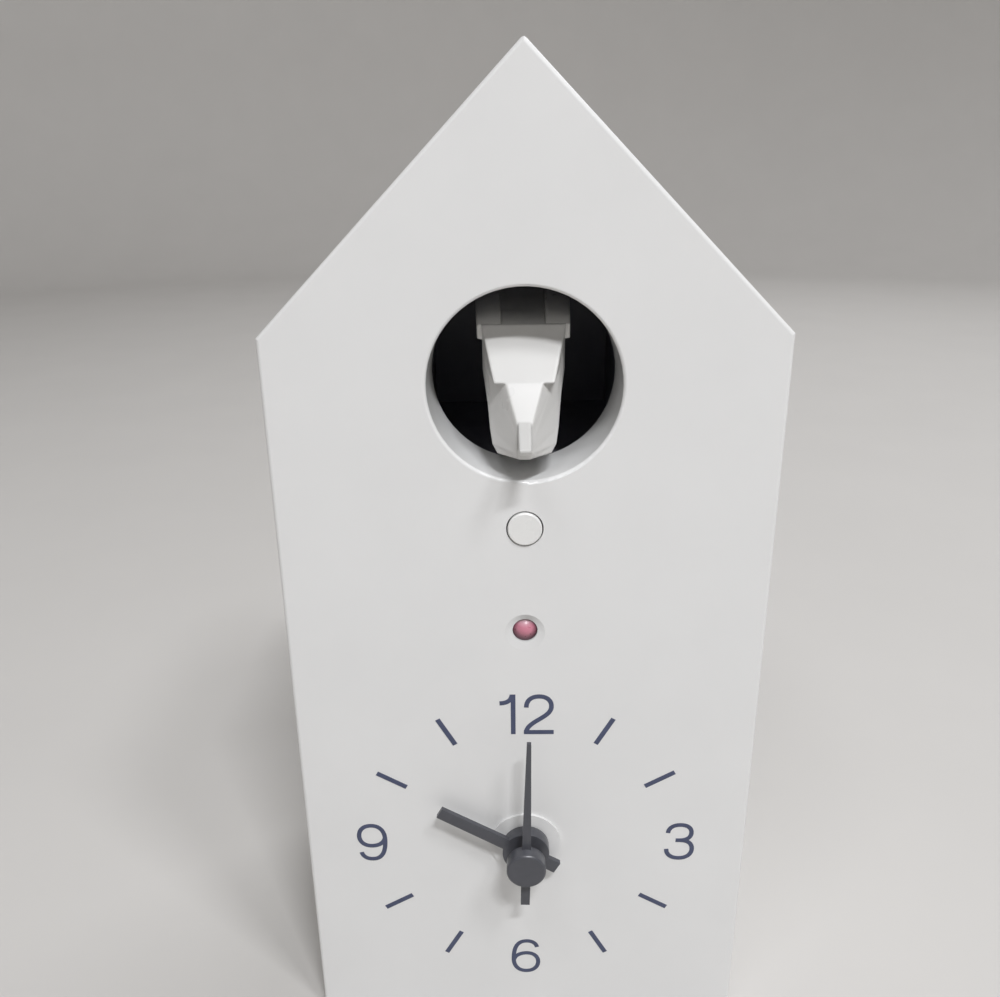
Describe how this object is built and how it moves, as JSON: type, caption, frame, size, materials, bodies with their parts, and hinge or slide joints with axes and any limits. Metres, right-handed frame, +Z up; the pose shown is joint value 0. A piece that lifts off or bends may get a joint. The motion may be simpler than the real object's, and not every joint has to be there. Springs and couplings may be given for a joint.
{
  "type": "cuckoo clock",
  "caption": "House-shaped cuckoo clock with a white moulded case, a round bird hole, a sliding bird on a rack drive, a quartz movement with hands and a dial on the front.",
  "frame": {"origin": "centre of the flat base", "axes": "+Z up to the ridge, the dial faces -Y, +X to the right of someone facing the dial"},
  "size_m": [0.12, 0.1074, 0.2596],
  "materials": {
    "white_shell": "fine moulded texture, satin",
    "white_bird": "smooth satin",
    "white_button": "satin",
    "hand_grey": "satin",
    "black_plastic": "matt",
    "natural_acetal": "smooth",
    "brass": "turned",
    "steel": "bright",
    "motor_can": "zinc plated",
    "circuit_board": "solder mask",
    "copper_wire": "enamelled winding",
    "red_lens": "glossy, translucent red",
    "sensor_face": "matt",
    "speaker_paper": "matt black",
    "ferrite": "ground",
    "cell_sleeve": "gloss sleeve",
    "nickel": "nickel plated"
  },
  "bodies": {
    "house": {"front_shell": "white_shell", "back_cover": "white_shell", "cover_screws": "steel", "bird_housing": "black_plastic", "housing_screws": "steel", "slide_frame": "black_plastic", "frame_screws": "steel", "guide_rods": "steel", "gear_plate": "black_plastic", "plate_screws": "steel", "gear_axles": "steel", "drive_motor": "motor_can", "motor_screws": "steel", "control_board": "circuit_board", "board_parts": "black_plastic", "board_screws": "steel", "button_switch": "nickel", "light_sensor": "sensor_face", "sensor_lens": "red_lens", "movement_front": "black_plastic", "movement_back": "black_plastic", "movement_coil": "copper_wire", "movement_stator": "steel", "movement_board": "circuit_board", "shaft_nut": "steel", "speaker_basket": "black_plastic", "speaker_magnet": "ferrite", "speaker_cone": "speaker_paper", "speaker_screws": "steel", "batteries": "cell_sleeve", "battery_contacts": "nickel", "slide_switch": "nickel"},
    "bird": {"bird_body": "white_bird", "bird_wings": "white_bird", "bird_carriage": "natural_acetal", "carriage_screw": "steel"},
    "rack_gear": {"rack_gear": "natural_acetal"},
    "middle_gear": {"middle_gear": "natural_acetal"},
    "motor_pinion": {"motor_pinion": "brass"},
    "button": {"push_button": "white_button", "switch_plunger": "black_plastic"},
    "minute": {"minute_hand": "hand_grey", "centre_arbor": "brass"},
    "minute_wheel": {"minute_wheel": "natural_acetal"},
    "hour": {"hour_hand": "hand_grey", "hour_wheel": "natural_acetal"},
    "set_knob": {"set_knob": "black_plastic"},
    "battery_door": {"battery_door": "white_shell"},
    "volume_knob": {"volume_knob": "black_plastic"}
  },
  "joints": [
    {"name": "minute_turn", "type": "hinge", "parent": "house", "child": "minute", "pos_m": [0, -0.0475, 0.061], "axis": [0, 1, 0], "continuous": true},
    {"name": "minute_wheel_turn", "type": "hinge", "parent": "house", "child": "minute_wheel", "pos_m": [-0.00849, -0.0405, 0.06949], "axis": [0, 1, 0], "continuous": true},
    {"name": "hour_turn", "type": "hinge", "parent": "house", "child": "hour", "pos_m": [0, -0.0475, 0.061], "axis": [0, 1, 0], "continuous": true},
    {"name": "set_knob_turn", "type": "hinge", "parent": "house", "child": "set_knob", "pos_m": [0, 0.0025, 0.07797], "axis": [0, 1, 0], "continuous": true},
    {"name": "bird_slide", "type": "slide", "parent": "house", "child": "bird", "axis": [0, 1, 0], "range_m": [0, 0.032]},
    {"name": "rack_gear_turn", "type": "hinge", "parent": "house", "child": "rack_gear", "pos_m": [0.01465, 0.0053, 0.15], "axis": [0, 0, 1], "range_deg": [-385, 3]},
    {"name": "middle_gear_turn", "type": "hinge", "parent": "house", "child": "middle_gear", "pos_m": [0.01465, -0.00625, 0.147], "axis": [0, 0, 1], "range_deg": [-5, 1380]},
    {"name": "motor_turn", "type": "hinge", "parent": "house", "child": "motor_pinion", "pos_m": [0.0031, -0.00625, 0.142], "axis": [0, 0, 1], "range_deg": [-4960, 10]},
    {"name": "button_press", "type": "slide", "parent": "house", "child": "button", "axis": [0, 1, 0], "range_m": [0, 0.0006], "stiffness_N_per_m": 300, "springref_m": -0.0005},
    {"name": "battery_door_swing", "type": "hinge", "parent": "house", "child": "battery_door", "pos_m": [0, 0.0462, 0.0125], "axis": [-1, 0, 0], "range_deg": [0, 90]},
    {"name": "volume_slide", "type": "slide", "parent": "house", "child": "volume_knob", "axis": [1, 0, 0], "range_m": [-0.002, 0.002]}
  ],
  "couplings": [
    {"joint": "minute_wheel_turn", "follows": "minute_turn", "ratio": -0.33333},
    {"joint": "hour_turn", "follows": "minute_turn", "ratio": 0.083333},
    {"joint": "set_knob_turn", "follows": "minute_turn", "ratio": 1},
    {"joint": "rack_gear_turn", "follows": "bird_slide", "rad_per_m": -208.33},
    {"joint": "middle_gear_turn", "follows": "bird_slide", "rad_per_m": 750},
    {"joint": "motor_turn", "follows": "bird_slide", "rad_per_m": -2700}
  ]
}
